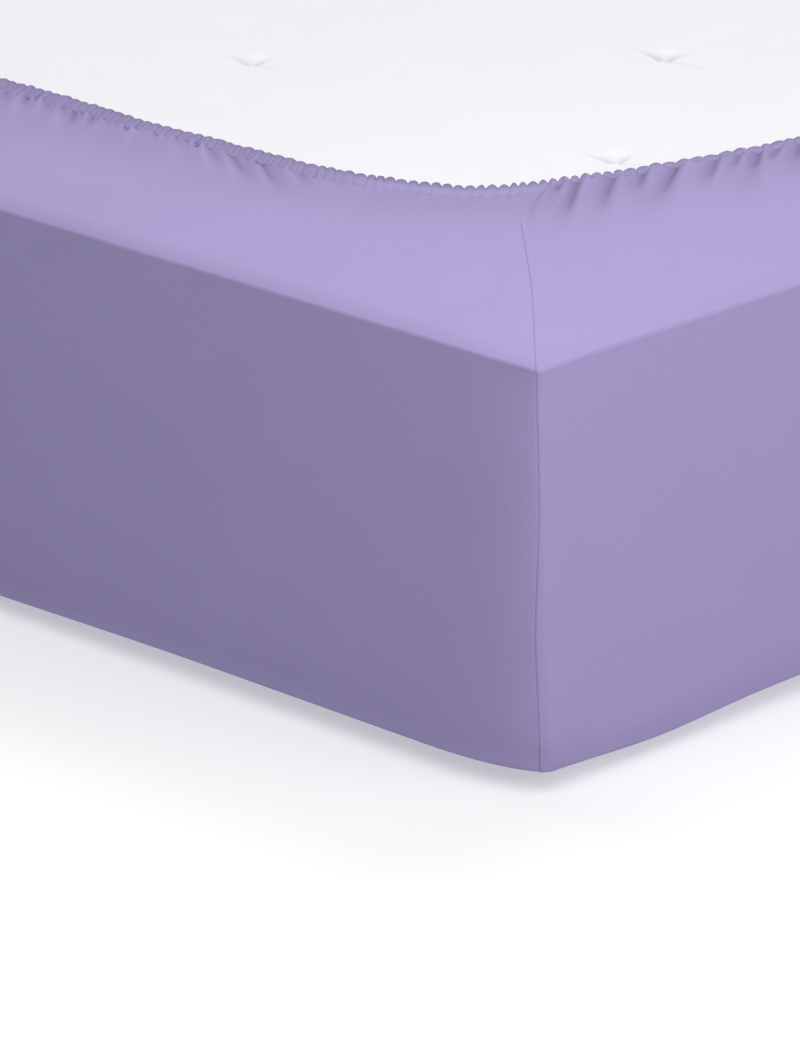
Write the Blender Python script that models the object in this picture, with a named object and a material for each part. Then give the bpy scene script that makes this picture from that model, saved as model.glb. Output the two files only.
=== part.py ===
"""A fitted sheet stretched over a mattress that lies with its underside up.

Metres, +Z up. The origin is on the floor, under the middle of the part.
X runs along the mattress and Y across it. The sheet's main panel lies on
the floor, its sides stand up, fold over the mattress's upper edge and end
in a gathered hem, which leaves the middle of the underside bare.
"""

import random
from math import atan2, cos, exp, pi, radians, sin

import bmesh
import bpy
from mathutils import Vector

# The mattress.
LENGTH = 2.00
WIDTH = 0.90
THICKNESS = 0.25
EDGE_DROP = 0.009           # the upper edge lies this much below the middle
CROWN_REACH = 0.165         # how far in from the edge the underside still rises
CROWN_POWER = 6             # how closely the rise keeps to each edge in a corner
BELLY = 0.003               # how far the sides bulge at half height
EASE = 0.0045               # its edges are this much rounder than the cloth's

# The cloth and how it bends round the mattress.
CLOTH = 0.002
GAP = 0.0003
CLOTH_REACH = 0.13          # the taut cloth is level again this far in
LOW_RADIUS = 0.035          # along the floor
FOLD_RADIUS = 0.010         # along the upper edge
CORNER_LONG = (0.075, 0.045)    # upright corner's reach along the mattress, low and high
CORNER_SHORT = (0.020, 0.008)   # its reach across the mattress
SEAM_TURN = radians(72)         # the seam's place round the corner, from the long side

# The hem's line: straight in the middle of each side, a wide curve, then a
# tight one round the corner.
HEM_INSET_SIDE = 0.1413
HEM_INSET_END = 0.1408
HEM_ARCS = (
    # radius, turn, from a long side round to an end
    (0.2689, radians(25.5)),
    (0.0570, radians(39.0)),
    (0.5836, radians(25.5)),
)
DIAGONAL_REACH = 0.10       # beside a seam, the way out of the hem turns to the diagonal

# The gathers. They are deeper and closer on the short ends, and lean towards
# the nearest corner seam as they run outwards from the hem.
SEED = 11
END_PUCKERS = 24
SIDE_PUCKERS = 30
END_DEPTH = 0.0040
SIDE_DEPTH = 0.0022
LEAN = 1.1
LEAN_PEAK = 0.12            # along the hem from the seam, where they lean most
UNEVEN_WIDTH = 0.30
UNEVEN_DEPTH = 0.45
PUCKER_SHAPE = (0.0, 0.55, 1.0, 0.45)

# Rings across the gathered hem: distance outwards from the hem's line, height
# of the face above the mattress, and share of a pucker's depth that it takes.
HEM_OUTER = (
    # outwards, height, share
    (0.055, GAP + CLOTH, 0.0),
    (0.030, GAP + CLOTH, 0.55),
    (0.008, GAP + CLOTH, 1.0),
    (0.001, 0.0062, 0.45),
    (-0.0045, 0.0038, 0.30),
)
HEM_INNER = (
    # outwards, height, share
    (-0.0045, GAP, 0.0),
    (0.030, GAP, 0.55),
    (0.055, GAP, 0.0),
)
SCALLOP = 0.0012            # how far the hem's edge swings in and out

# Tufts of the mattress: rows across it, columns along it.
TUFT_PITCH = 0.293
TUFTS_IN_ROW = 6
TUFT_ROWS = (
    # row's place across, first tuft's place along
    (-0.167, 0.799),
    (0.012, 0.673),
    (0.172, 0.790),
)
TUFT_DEPTH = 0.003
TUFT_REACH = 0.024

# How finely the faces are cut.
ARC_STEPS = 4
SIDE_COLUMNS = 8
END_COLUMNS = 4
SEARCH_STEPS = 40
SHARP_ANGLE = radians(50)
DIGITS = 4                  # decimals to which the tufted grid's lines are rounded
CORNER_SHARE = 0.08         # part of a side's columns that go to half a corner
SIDE_HEIGHTS = (0.33, 0.66, 1.0)
BAND_SHARES = (0.25, 0.60)
UNDERSIDE_INSETS = (0.030, 0.070, 0.115)
UNDERSIDE_MARGIN = (0.150, 0.140)

CLOTH_COLOUR = (0.40, 0.33, 0.66, 1.0)
TICKING_COLOUR = (0.86, 0.86, 0.88, 1.0)

BASE = CLOTH + GAP
EDGE_HEIGHT = BASE + THICKNESS - EDGE_DROP

# Each side: direction along it, direction outwards, half its length, half of
# the mattress across it. They follow each other anticlockwise from above.
SIDES = (
    (Vector((1, 0, 0)), Vector((0, -1, 0)), LENGTH / 2, WIDTH / 2),
    (Vector((0, 1, 0)), Vector((1, 0, 0)), WIDTH / 2, LENGTH / 2),
    (Vector((-1, 0, 0)), Vector((0, 1, 0)), LENGTH / 2, WIDTH / 2),
    (Vector((0, -1, 0)), Vector((-1, 0, 0)), WIDTH / 2, LENGTH / 2),
)
KEY_TURN = 2.0 * len(SIDES)


def is_end(side):
    """True for the two short sides."""
    return side % 2 == 1


def clear_scene():
    for thing in list(bpy.data.objects):
        bpy.data.objects.remove(thing, do_unlink=True)


def make_material(name, colour, roughness):
    material = bpy.data.materials.new(name)
    material.use_nodes = True
    shader = material.node_tree.nodes["Principled BSDF"]
    shader.inputs["Base Color"].default_value = colour
    shader.inputs["Roughness"].default_value = roughness
    shader.inputs["Metallic"].default_value = 0.0
    return material


def crown_height(x, y, reach):
    """Height of the mattress's upper face: level inside, lower at its edges."""
    short_x = max(0.0, 1.0 - (LENGTH / 2 - abs(x)) / reach)
    short_y = max(0.0, 1.0 - (WIDTH / 2 - abs(y)) / reach)
    total = short_x ** CROWN_POWER + short_y ** CROWN_POWER
    short = min(1.0, total ** (1 / CROWN_POWER))
    return EDGE_HEIGHT + EDGE_DROP * (1.0 - short * short)


def corner_at(height):
    """How far the upright corner's curve reaches along and across, at a height."""
    share = min(1.0, max(0.0, height / EDGE_HEIGHT))
    longer = CORNER_LONG[0] + (CORNER_LONG[1] - CORNER_LONG[0]) * share
    shorter = CORNER_SHORT[0] + (CORNER_SHORT[1] - CORNER_SHORT[0]) * share
    return longer, shorter


def outline_point(side, place, grow, inset, ease, height):
    """A point on a rounded rectangle, by its place from -1 to 1 along a side.

    grow widens the whole outline, inset narrows it, ease makes its corners rounder.
    """
    along, outward, half_along, half_out = SIDES[side]
    longer, shorter = corner_at(height)
    reach = half_along + grow - inset
    out = half_out + grow - inset
    if is_end(side):
        bend_along, bend_out, turn = shorter + ease, longer + ease, pi / 2 - SEAM_TURN
    else:
        bend_along, bend_out, turn = longer + ease, shorter + ease, SEAM_TURN
    straight = 1.0 - CORNER_SHARE
    share = abs(place)
    if share <= straight:
        run = share / straight * (reach - bend_along)
        rise = out
    else:
        angle = (share - straight) / CORNER_SHARE * turn
        run = reach - bend_along + bend_along * sin(angle)
        rise = out - bend_out + bend_out * cos(angle)
    if place < 0:
        run = -run
    point = along * run + outward * rise
    point.z = height
    return point


def hem_straights():
    """Straight parts of a quarter of the hem, before and after its arcs."""
    before = LENGTH / 2 - HEM_INSET_END
    after = WIDTH / 2 - HEM_INSET_SIDE
    turned = 0.0
    for radius, turn in HEM_ARCS:
        before -= radius * (sin(turned + turn) - sin(turned))
        after -= radius * (cos(turned) - cos(turned + turn))
        turned += turn
    return before, after


def hem_quarter(way):
    """A place on a quarter of the hem: how far along, how far across, and its bearing."""
    straight = hem_straights()[0]
    along = min(way, straight)
    across = WIDTH / 2 - HEM_INSET_SIDE
    left = way - straight
    bearing = 0.0
    for radius, turn in HEM_ARCS:
        here = min(max(left / radius, 0.0), turn)
        along += radius * (sin(bearing + here) - sin(bearing))
        across -= radius * (cos(bearing) - cos(bearing + here))
        bearing += here
        left -= radius * turn
    return along, across - max(left, 0.0), bearing


def quarter_length():
    return sum(hem_straights()) + sum(radius * turn for radius, turn in HEM_ARCS)


def seam_way():
    """Way along a quarter of the hem to the place level with the corner's diagonal."""
    low, high = 0.0, quarter_length()
    for _ in range(SEARCH_STEPS):
        middle = (low + high) / 2
        along, across, _ = hem_quarter(middle)
        if LENGTH / 2 - along > WIDTH / 2 - across:
            low = middle
        else:
            high = middle
    return (low + high) / 2


def hem_half_length(side):
    return quarter_length() - SEAM_WAY if is_end(side) else SEAM_WAY


def hem_point(side, travel, outwards):
    """A point beside the hem's line, by the way travelled from mid-side."""
    along, outward, _, _ = SIDES[side]
    gap = hem_half_length(side) - abs(travel)
    way = SEAM_WAY + (gap if is_end(side) else -gap)
    run, rise, bearing = hem_quarter(way)
    near = min(1.0, max(0.0, 1.0 - gap / DIAGONAL_REACH))
    near = near * near * (3 - 2 * near)
    bearing += (pi / 4 - SEAM_BEARING) * near
    run += outwards * sin(bearing)
    rise += outwards * cos(bearing)
    if is_end(side):
        run, rise = rise, run
    if travel < 0:
        run = -run
    return along * run + outward * rise


def lean_at(side, travel):
    """How far a pucker moves towards the seam for each metre outwards."""
    half = hem_half_length(side)
    from_seam = half - abs(travel)
    lean = LEAN * from_seam / LEAN_PEAK * exp(1 - from_seam / LEAN_PEAK)
    return lean * (1 - (from_seam / half) ** 4)


def plain_columns():
    """Places round the plain rings, closer together at the four corners."""
    columns = []
    straight = 1.0 - CORNER_SHARE
    for side in range(len(SIDES)):
        steps = END_COLUMNS if is_end(side) else SIDE_COLUMNS
        for step in range(ARC_STEPS):
            columns.append((side, -1.0 + CORNER_SHARE * step / ARC_STEPS))
        for step in range(steps + 1):
            columns.append((side, straight * (2.0 * step / steps - 1.0)))
        for step in range(1, ARC_STEPS):
            columns.append((side, straight + CORNER_SHARE * step / ARC_STEPS))
    return columns


def hem_columns():
    """Places round the gathered rings: side, place, share and pucker depth."""
    dice = random.Random(SEED)
    columns = []
    for side in range(len(SIDES)):
        count = END_PUCKERS if is_end(side) else SIDE_PUCKERS
        depth = END_DEPTH if is_end(side) else SIDE_DEPTH
        widths = [1 + UNEVEN_WIDTH * dice.uniform(-1, 1) for _ in range(count)]
        start = 0.0
        for width in widths:
            this_depth = depth * (1 + UNEVEN_DEPTH * dice.uniform(-1, 1))
            for step, shape in enumerate(PUCKER_SHAPE):
                way = start + width * step / len(PUCKER_SHAPE)
                columns.append((side, 2 * way / sum(widths) - 1, this_depth * shape))
            start += width
    return columns


def ring_of(bm, keyed_points):
    """Vertices of one ring, each with its key for zipping it to the next."""
    return [(key, bm.verts.new(point)) for key, point in keyed_points]


def column_key(side, place):
    """Where a column lies round the whole ring: each side takes two units."""
    return 2.0 * side + place + 1.0


def plain_ring(bm, columns, grow, inset, ease, height):
    points = []
    for side, place in columns:
        point = outline_point(side, place, grow, inset, ease, height)
        points.append((column_key(side, place), point))
    return ring_of(bm, points)


def wall_rings(bm, columns, grow, ease):
    """Rings from the floor up to where the cloth has turned over the edge.

    grow is how far the face lies outside the mattress, ease how much rounder
    its bends are than the cloth's inner face.
    """
    rings = []
    low = LOW_RADIUS + grow + ease
    for step in range(ARC_STEPS + 1):
        angle = step / ARC_STEPS * pi / 2
        height = BASE - grow + low * (1 - cos(angle))
        rings.append(plain_ring(bm, columns, grow, low * (1 - sin(angle)), ease, height))
    fold = FOLD_RADIUS + grow + ease
    bottom = BASE - grow + low
    top = EDGE_HEIGHT + grow - fold
    for share in SIDE_HEIGHTS:
        height = bottom + (top - bottom) * share
        bulge = BELLY * sin(pi * share)
        rings.append(plain_ring(bm, columns, grow + bulge, 0.0, ease, height))
    for step in range(1, ARC_STEPS):
        angle = step / (ARC_STEPS - 1) * (pi / 2 - 2 * EDGE_DROP / CLOTH_REACH)
        inset = fold * (1 - cos(angle))
        height = EDGE_HEIGHT + grow - fold * (1 - sin(angle))
        rings.append(plain_ring(bm, columns, grow, inset, ease, height))
    return rings


def band_ring(bm, columns, grow, share):
    """A plain ring part of the way from the folded edge to the gathers."""
    points = []
    outwards = HEM_OUTER[0][0]
    for side, place in columns:
        start = outline_point(side, place, 0.0, FOLD_RADIUS, 0.0, EDGE_HEIGHT)
        end = hem_point(side, place * hem_half_length(side), outwards)
        point = start.lerp(end, share)
        point.z = crown_height(point.x, point.y, CLOTH_REACH) + grow
        points.append((column_key(side, place), point))
    return ring_of(bm, points)


def gathered_ring(bm, columns, outwards, height, share):
    """A ring that follows the hem, with the puckers' own ups and downs."""
    points = []
    for side, place, rise in columns:
        travel = place * hem_half_length(side)
        shift = lean_at(side, travel) * max(outwards, 0.0)
        travel += shift if travel > 0 else -shift
        swing = 0.0
        if outwards < 0:
            swing = -SCALLOP * rise / END_DEPTH
        point = hem_point(side, travel, outwards + swing)
        point.z = crown_height(point.x, point.y, CLOTH_REACH) + height + rise * share
        points.append((column_key(side, place), point))
    return ring_of(bm, points)


def zip_rings(bm, first, second):
    """Faces between two rings: quads where they match, else triangles."""
    if len(first) == len(second):
        for index in range(len(first)):
            following = (index + 1) % len(first)
            corners = (first[index], first[following], second[following], second[index])
            bm.faces.new([corner[1] for corner in corners])
        return
    first = first + [(first[0][0] + KEY_TURN, first[0][1])]
    second = second + [(second[0][0] + KEY_TURN, second[0][1])]
    low = 0
    high = 0
    while low + high < len(first) + len(second) - 2:
        here = first[low][1]
        there = second[high][1]
        at_end = high + 1 == len(second)
        if at_end or (low + 1 < len(first) and first[low + 1][0] <= second[high + 1][0]):
            low += 1
            bm.faces.new((here, first[low][1], there))
        else:
            high += 1
            bm.faces.new((here, second[high][1], there))


def close_ring(bm, ring):
    """A flat face across a ring, cut into triangles round its middle."""
    face = bm.faces.new([vertex for _, vertex in ring])
    bmesh.ops.poke(bm, faces=[face])


def finish_object(name, bm, material):
    bmesh.ops.recalc_face_normals(bm, faces=bm.faces)
    mesh = bpy.data.meshes.new(name)
    bm.to_mesh(mesh)
    bm.free()
    mesh.shade_smooth()
    mesh.set_sharp_from_angle(angle=SHARP_ANGLE)
    mesh.materials.append(material)
    thing = bpy.data.objects.new(name, mesh)
    bpy.context.scene.collection.objects.link(thing)
    return thing


def cloth_face(bm, grow, hem_rows):
    """One face of the cloth, from the floor panel to the given hem rings."""
    columns = plain_columns()
    rings = wall_rings(bm, columns, grow, 0.0)
    for share in BAND_SHARES:
        rings.append(band_ring(bm, columns, grow, share))
    for outwards, height, share in hem_rows:
        rings.append(gathered_ring(bm, hem_columns(), outwards, height, share))
    return rings


def build_sheet():
    """The cloth: its outer face, the hem's rounded edge, then its inner face."""
    bm = bmesh.new()
    rings = cloth_face(bm, GAP + CLOTH, HEM_OUTER)
    inner = cloth_face(bm, GAP, tuple(reversed(HEM_INNER)))
    rings.extend(reversed(inner))
    close_ring(bm, rings[0])
    for first, second in zip(rings, rings[1:]):
        zip_rings(bm, first, second)
    close_ring(bm, rings[-1])
    return finish_object("sheet", bm, make_material("jersey", CLOTH_COLOUR, 0.85))


def tuft_places():
    """Where each tuft is, along and across the mattress."""
    places = []
    for across, first in TUFT_ROWS:
        for count in range(TUFTS_IN_ROW):
            places.append((first - count * TUFT_PITCH, across))
    return places


def grid_lines(centres, half_size):
    """Sorted lines through each centre and on both sides of it."""
    lines = {-half_size, half_size}
    for centre in centres:
        lines.update((centre - TUFT_REACH, centre, centre + TUFT_REACH))
    return sorted(round(line, DIGITS) for line in lines)


def tufted_grid(bm):
    """The middle of the underside, with a small dimple at each tuft."""
    tufts = tuft_places()
    xs = grid_lines({place[0] for place in tufts}, LENGTH / 2 - UNDERSIDE_MARGIN[0])
    ys = grid_lines({place[1] for place in tufts}, WIDTH / 2 - UNDERSIDE_MARGIN[1])
    dimples = {(round(x, DIGITS), round(y, DIGITS)) for x, y in tufts}
    grid = {}
    for column, x in enumerate(xs):
        for row, y in enumerate(ys):
            height = crown_height(x, y, CROWN_REACH)
            if (x, y) in dimples:
                height -= TUFT_DEPTH
            grid[column, row] = bm.verts.new((x, y, height))
    for column in range(len(xs) - 1):
        for row in range(len(ys) - 1):
            corners = [(column, row), (column + 1, row), (column + 1, row + 1), (column, row + 1)]
            bm.faces.new([grid[corner] for corner in corners])
    last_column = len(xs) - 1
    last_row = len(ys) - 1
    border = [grid[column, 0] for column in range(last_column)]
    border += [grid[last_column, row] for row in range(last_row)]
    border += [grid[column, last_row] for column in range(last_column, 0, -1)]
    border += [grid[0, row] for row in range(last_row, 0, -1)]
    return border


def by_angle(vertices):
    """The same ring again, keyed by its angle round the middle."""
    keyed = []
    for vertex in vertices:
        angle = atan2(vertex.co.y / WIDTH, vertex.co.x / LENGTH)
        keyed.append((angle / (2 * pi) % 1.0 * KEY_TURN, vertex))
    return sorted(keyed, key=lambda item: item[0])


def build_mattress():
    """The mattress: rings up to its crowned underside, then the tufted middle."""
    bm = bmesh.new()
    columns = plain_columns()
    rings = wall_rings(bm, columns, 0.0, EASE)
    for inset in UNDERSIDE_INSETS:
        ring = plain_ring(bm, columns, 0.0, inset, EASE, EDGE_HEIGHT)
        for _, vertex in ring:
            vertex.co.z = crown_height(vertex.co.x, vertex.co.y, CROWN_REACH)
        rings.append(ring)
    close_ring(bm, rings[0])
    for first, second in zip(rings, rings[1:]):
        zip_rings(bm, first, second)
    border = tufted_grid(bm)
    zip_rings(bm, by_angle([vertex for _, vertex in rings[-1]]), by_angle(border))
    return finish_object("mattress", bm, make_material("ticking", TICKING_COLOUR, 0.9))


SEAM_WAY = seam_way()
SEAM_BEARING = hem_quarter(SEAM_WAY)[2]

clear_scene()
build_sheet()
build_mattress()
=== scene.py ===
"""Looks of the fitted sheet on its mattress: jersey, gathered hem, corner seams, tufted ticking."""

from math import cos, exp, pi, radians, sin, sqrt

import bmesh
import bpy
import numpy as np
from mathutils import Matrix, Vector


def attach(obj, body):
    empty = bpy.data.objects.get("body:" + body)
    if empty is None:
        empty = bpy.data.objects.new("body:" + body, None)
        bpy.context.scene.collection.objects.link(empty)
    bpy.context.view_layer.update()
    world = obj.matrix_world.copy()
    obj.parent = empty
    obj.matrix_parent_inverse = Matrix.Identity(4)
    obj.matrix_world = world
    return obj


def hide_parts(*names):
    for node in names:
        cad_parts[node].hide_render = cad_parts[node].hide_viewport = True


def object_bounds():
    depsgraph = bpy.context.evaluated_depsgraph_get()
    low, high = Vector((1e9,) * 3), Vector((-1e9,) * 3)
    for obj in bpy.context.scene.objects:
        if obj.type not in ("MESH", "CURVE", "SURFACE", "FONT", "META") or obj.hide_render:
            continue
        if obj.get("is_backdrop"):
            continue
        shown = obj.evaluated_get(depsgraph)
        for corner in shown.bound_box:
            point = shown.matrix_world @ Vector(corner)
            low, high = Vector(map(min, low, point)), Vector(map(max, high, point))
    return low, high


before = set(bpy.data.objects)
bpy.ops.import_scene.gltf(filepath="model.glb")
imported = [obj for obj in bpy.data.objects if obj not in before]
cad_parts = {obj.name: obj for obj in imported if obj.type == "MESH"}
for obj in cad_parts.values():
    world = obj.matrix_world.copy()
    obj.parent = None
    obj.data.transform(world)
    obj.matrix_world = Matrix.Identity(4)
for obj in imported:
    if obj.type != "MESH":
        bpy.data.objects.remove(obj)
cad_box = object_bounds()

# --- Driving sizes, in metres ---
LENGTH = 2.00
WIDTH = 0.90
THICKNESS = 0.25
CLOTH = 0.002
GAP = 0.0003  # between the cloth and the mattress
OUTER = GAP + CLOTH  # from the mattress to the cloth's outer face
EASE = 0.0045  # how much rounder the mattress is than its cloth
EDGE_DROP = 0.009  # fall of the mattress's face towards its edges
CROWN_REACH = 0.165  # how far in from the edges the mattress's face falls
CLOTH_REACH = 0.13  # the same for the cloth, which is drawn flatter
CROWN_POWER = 6
BELLY = 0.003  # how far the sides bulge
LOW_RADIUS = 0.035  # of the edge at the floor
LOW_TIGHTER_SIDE = (0.0075, 0.25, 0.25)  # less of it along the sides: amount, start, reach
LOW_TIGHTER_END = (0.009, 0.095, 0.065)  # and on the ends near corners: amount, place, width
BASE = OUTER  # height of the mattress's lower face
EDGE_HEIGHT = BASE + THICKNESS - EDGE_DROP
TOP_HEIGHT = BASE + THICKNESS

# --- The hem's line ---
HEM_INSET_SIDE = 0.1413
HEM_INSET_END = 0.1408
HEM_ARCS = (
    # radius, turn in degrees, from a long side round to an end
    (0.2689, 25.5),
    (0.0570, 39.0),
    (0.5836, 25.5),
)
HEM_SAG = 0.0035  # how far out the hem wanders beside one group of creases
HEM_SAG_AT = 0.430  # from the end
HEM_SAG_WIDTH = 0.040
HEM_SAG_REACH = 0.090  # way out of the hem where the cloth no longer follows it
DIAGONAL_REACH = 0.10  # part of the hem beside a seam whose way out turns to the diagonal

# --- The corner's plan, which is longer along the mattress than across it ---
CORNER_LONG = (0.075, 0.045)  # at the floor and at the fold
CORNER_SHORT = (0.020, 0.008)
SEAM_WANDER = (
    # height, degrees round the corner from the long side
    (0.000, 72),
    (0.050, 70),
    (0.090, 67),
    (0.120, 69),
    (0.160, 74),
    (0.200, 74),
    (0.243, 72),
)
ARC_SHARE = {"side": 0.08, "end": 0.015}  # share of half a side whose columns stand on the curve
SEAM_ZONE = 0.0025  # beside a seam, columns keep their distance from it
SEAM_GAPS = (0.0, 0.00005, 0.00011, 0.0002, 0.0003, 0.00045, 0.0008, 0.0012, 0.0018)
SEAM_ROLL = 0.00032  # radius of the cloth's turn into the seam
SEAM_PUFF = 0.00010
SEAM_PUFF_AT = 0.0012
SEAM_PUFF_WIDTH = 0.0006
# painted shade in the seam's groove
SEAM_SHADE = 0.28
SEAM_SHADE_REACH = 0.0006
SEAM_HIDDEN = 0.046  # way from the stitch line where gathers lie on the seam
SEAM_SHOWING = 0.012  # way over which it comes out from under them
SEAM_BOW = 0.0022  # how far the seam bows towards the end on its way to the fold
SEAM_BOW_START = 0.033
SEAM_BOW_REACH = 0.190
SEAM_BOW_WIDTH = 0.040

# --- The folds between the sides and the band above ---
FOLD_TOP = radians(7)  # slope of the band where the fold starts
FOLD_BREAK = {"side": radians(33), "end": radians(36)}  # slope where it turns tight
FOLD_TIGHT = {"side": 0.0023, "end": 0.0036}  # radius
FOLD_LOOSE = 0.030  # radius
FOLD_ANGLES = (84, 74, 64, 55, 47, 40, 36, 32, 26, 20, 13, 7)
FOLD_BLEND = 0.008

ALONG = np.array([(1, 0), (0, 1), (-1, 0), (0, -1)], float)
OUTWARD = np.array([(0, -1), (1, 0), (0, 1), (-1, 0)], float)
HALF_ALONG = np.array([LENGTH, WIDTH, LENGTH, WIDTH]) / 2
HALF_OUT = np.array([WIDTH, LENGTH, WIDTH, LENGTH]) / 2
KIND = ("side", "end", "side", "end")


def hem_quarter(way):
    """Run along, rise across and bearing of places on a quarter of the hem's line."""
    way = np.asarray(way, float)
    run = np.minimum(way, HEM_STRAIGHT)
    rise = np.full(way.shape, WIDTH / 2 - HEM_INSET_SIDE)
    bearing = np.zeros(way.shape)
    start, turned = HEM_STRAIGHT, 0.0
    for radius, degrees in HEM_ARCS:
        turn = radians(degrees)
        here = np.clip((way - start) / radius, 0, turn)
        run += radius * (np.sin(turned + here) - sin(turned))
        rise += radius * (np.cos(turned + here) - cos(turned))
        bearing += here
        start += radius * turn
        turned += turn
    return run, rise - np.maximum(way - start, 0), bearing


def arcs_reach(part):
    """How far the hem's three arcs go along the mattress (sin) or across it (cos)."""
    turns = np.radians(np.cumsum([0.0] + [degrees for _, degrees in HEM_ARCS]))
    return sum(abs(radius * (part(turns[step + 1]) - part(turns[step])))
               for step, (radius, _) in enumerate(HEM_ARCS))


HEM_STRAIGHT = LENGTH / 2 - HEM_INSET_END - arcs_reach(sin)
HEM_QUARTER = HEM_STRAIGHT + sum(radius * radians(degrees) for radius, degrees in HEM_ARCS)
HEM_QUARTER += WIDTH / 2 - HEM_INSET_SIDE - arcs_reach(cos)


def seam_place():
    """Way and bearing of the place on the hem that is as far from the end as from the side."""
    ways = np.linspace(HEM_QUARTER, 0, 20001)
    run, rise, bearing = hem_quarter(ways)
    apart = (LENGTH / 2 - run) - (WIDTH / 2 - rise)
    return float(np.interp(0, apart, ways)), float(np.interp(0, apart, bearing))


SEAM_WAY, SEAM_BEARING = seam_place()
SEAM_INSET = float(LENGTH / 2 - hem_quarter([SEAM_WAY])[0][0])
HEM_HALF = np.array([SEAM_WAY, HEM_QUARTER - SEAM_WAY] * 2)
HEM_START = np.concatenate(([0.0], np.cumsum(2 * HEM_HALF)))
HEM_LENGTH = HEM_START[-1]


def smooth(share):
    """A step from 0 to 1 that starts and ends level."""
    share = np.clip(share, 0.0, 1.0)
    return share * share * (3 - 2 * share)


def bell(off):
    """A round hill, 1 high where off is 0."""
    return np.exp(-off ** 2)


def mixed(first, second, share):
    """A value between two, by its share of the way to the second."""
    return first + (second - first) * share


class Columns:
    """Places round the sheet, each given by its way along the hem."""

    def __init__(self, way):
        self.way = np.mod(np.asarray(way, float), HEM_LENGTH)
        self.side = np.clip(np.searchsorted(HEM_START, self.way, side="right") - 1, 0, 3)
        half = HEM_HALF[self.side]
        off = self.way - HEM_START[self.side] - half
        self.sign = np.where(off < 0, -1.0, 1.0)
        self.gap = half - np.abs(off)
        self.place = np.minimum(np.abs(off) / (half - SEAM_ZONE), 1.0)
        self.creep = np.maximum(SEAM_ZONE - self.gap, 0.0)
        self.end = self.side % 2 == 1
        self.near = np.where(self.end, self.gap, -self.gap)

    def turned(self, run, rise):
        """Points from a run along the side and a rise out of the middle."""
        run = run * self.sign
        return ALONG[self.side] * run[:, None] + OUTWARD[self.side] * rise[:, None]


def corner_plan(height):
    """How far the corner's curve reaches along and across, and where its seam is."""
    share = np.clip(height / EDGE_HEIGHT, 0, 1)
    turn = np.interp(height, *zip(*SEAM_WANDER))
    return mixed(*CORNER_LONG, share), mixed(*CORNER_SHORT, share), np.radians(turn)


def outline(cols, grow, inset, plan):
    """Points of the mattress's rounded outline, and the ways out of it."""
    longer, shorter, turn = plan
    share_of_arc = np.where(cols.end, ARC_SHARE["end"], ARC_SHARE["side"])
    run_reach = np.where(cols.end, shorter, longer)
    rise_reach = np.where(cols.end, longer, shorter)
    own_turn = np.where(cols.end, pi / 2 - turn, turn)
    pace = np.hypot(longer * np.cos(turn), shorter * np.sin(turn))
    arc = np.clip((cols.place - 1 + share_of_arc) / share_of_arc, 0, 1)
    angle = arc * (own_turn - SEAM_ZONE / pace) + cols.creep / pace
    straight = np.minimum(cols.place / (1 - share_of_arc), 1)
    reach = HALF_ALONG[cols.side] + grow - inset - run_reach
    run = straight * reach + run_reach * np.sin(angle)
    rise = HALF_OUT[cols.side] + grow - inset - rise_reach * (1 - np.cos(angle))
    normal = cols.turned(rise_reach * np.sin(angle), run_reach * np.cos(angle))
    return cols.turned(run, rise), normal / np.linalg.norm(normal, axis=1)[:, None]


def hem_line(cols, outwards):
    """Points beside the hem's line, outwards by the given distance."""
    run, rise, bearing = hem_quarter(SEAM_WAY + np.where(cols.end, cols.gap, -cols.gap))
    sag = HEM_SAG * bell((LENGTH / 2 - run - HEM_SAG_AT) / HEM_SAG_WIDTH)
    sag = sag * smooth(1 - outwards / HEM_SAG_REACH)
    outwards = outwards + np.where(cols.end, 0.0, sag)
    bearing = bearing + (pi / 4 - SEAM_BEARING) * smooth(1 - cols.gap / DIAGONAL_REACH)
    run = run + outwards * np.sin(bearing)
    rise = rise + outwards * np.cos(bearing)
    return cols.turned(np.where(cols.end, rise, run), np.where(cols.end, run, rise))


def crown(points, reach):
    """Height of the mattress's upper face under the given points."""
    short_x = np.maximum(0.0, 1 - (LENGTH / 2 - np.abs(points[:, 0])) / reach)
    short_y = np.maximum(0.0, 1 - (WIDTH / 2 - np.abs(points[:, 1])) / reach)
    total = short_x ** CROWN_POWER + short_y ** CROWN_POWER
    short = np.minimum(1.0, total ** (1 / CROWN_POWER))
    return EDGE_HEIGHT + EDGE_DROP * (1 - short * short)


def with_height(points, height):
    """Points on the ground, given a height."""
    return np.column_stack((points, np.broadcast_to(height, len(points))))


def on_top(points, *heights):
    """Points on the ground, raised to the mattress's upper face and then by the given heights."""
    total = crown(points, CLOTH_REACH)
    for height in heights:
        total = total + height
    return with_height(points, total)


class Varied:
    """A size that changes along the hem, from its value at a seam to the side's and the end's."""

    def __init__(self, side, seam, end, start=0.05, reach=0.10, end_reach=0.03):
        self.side, self.seam, self.end = side, seam, end
        self.start, self.reach, self.end_reach = start, reach, end_reach

    def at(self, cols):
        """The size at each of the columns."""
        far = smooth((-cols.near - self.start) / self.reach)
        end = mixed(self.seam, self.end, smooth(cols.near / self.end_reach))
        return np.where(cols.end, end, mixed(self.seam, self.side, far))


# --- Scallops and creases of the gathered hem ---
SEED = 20
SCALLOP_PITCH = Varied(0.0078, 0.0058, 0.0088, start=0.0, reach=0.22, end_reach=0.12)
SCALLOP_APART = Varied(0.0, 0.24, 0.0, start=0.0, reach=0.15, end_reach=0.10)  # share left flat
SCALLOP_UNEVEN = 0.26
SCALLOP_SIZES = (0.72, 1.25)
SCALLOP_SAMPLES = (0.0, 0.05, 0.17, 0.38, 0.5, 0.62, 0.83, 0.95)  # shares of a scallop

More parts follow.
